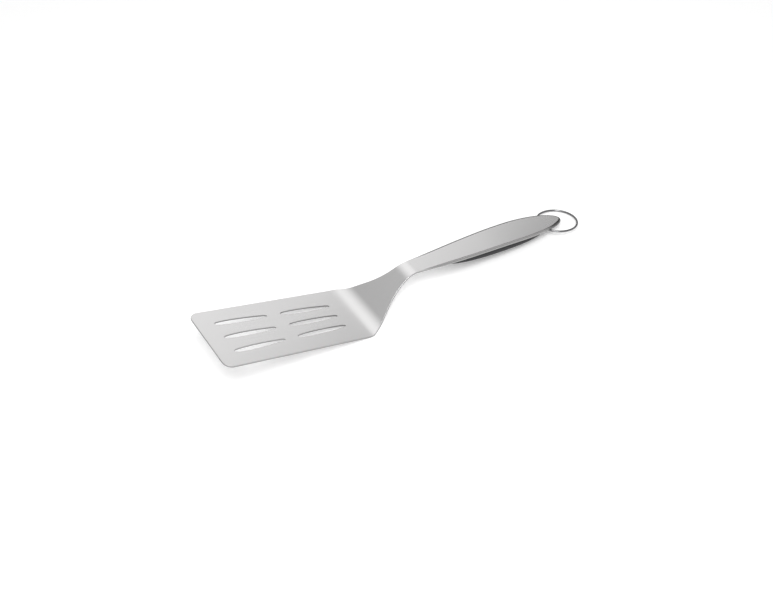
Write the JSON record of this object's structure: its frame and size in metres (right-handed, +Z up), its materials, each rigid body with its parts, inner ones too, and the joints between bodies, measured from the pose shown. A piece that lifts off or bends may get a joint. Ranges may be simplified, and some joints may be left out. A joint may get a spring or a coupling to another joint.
{
  "type": "barbecue spatula",
  "caption": "Barbecue spatula with a wide slotted blade, a bent neck, a tapered handle with a soft grip underneath and a swinging hanging ring.",
  "frame": {"origin": "centre of the part's box, on the table that it rests on: halfway between the blade's front edge and the ring's far side", "axes": "+X from the blade to the handle, +Y to the side that the hanging ring rolls down to, +Z up as it rests on its heel bend and on the lug that holds its ring"},
  "size_m": [0.4734, 0.0878, 0.052],
  "materials": {
    "brushed_sheet": "fine satin brushing, polished on the rolled edges",
    "core_plastic": "moulded, fine grain",
    "grip_rubber": "soft touch, matt",
    "ring_wire": "drawn wire, polished"
  },
  "bodies": {
    "spatula": {"blade_and_handle": "brushed_sheet", "grip_core": "core_plastic", "soft_grip": "grip_rubber"},
    "ring": {"hanging_ring": "ring_wire"}
  },
  "joints": [
    {"name": "ring_swing", "type": "hinge", "parent": "spatula", "child": "ring", "pos_m": [0.18861, 0, 0.00777], "axis": [0, 1, 0], "range_deg": [-5, 110]}
  ]
}
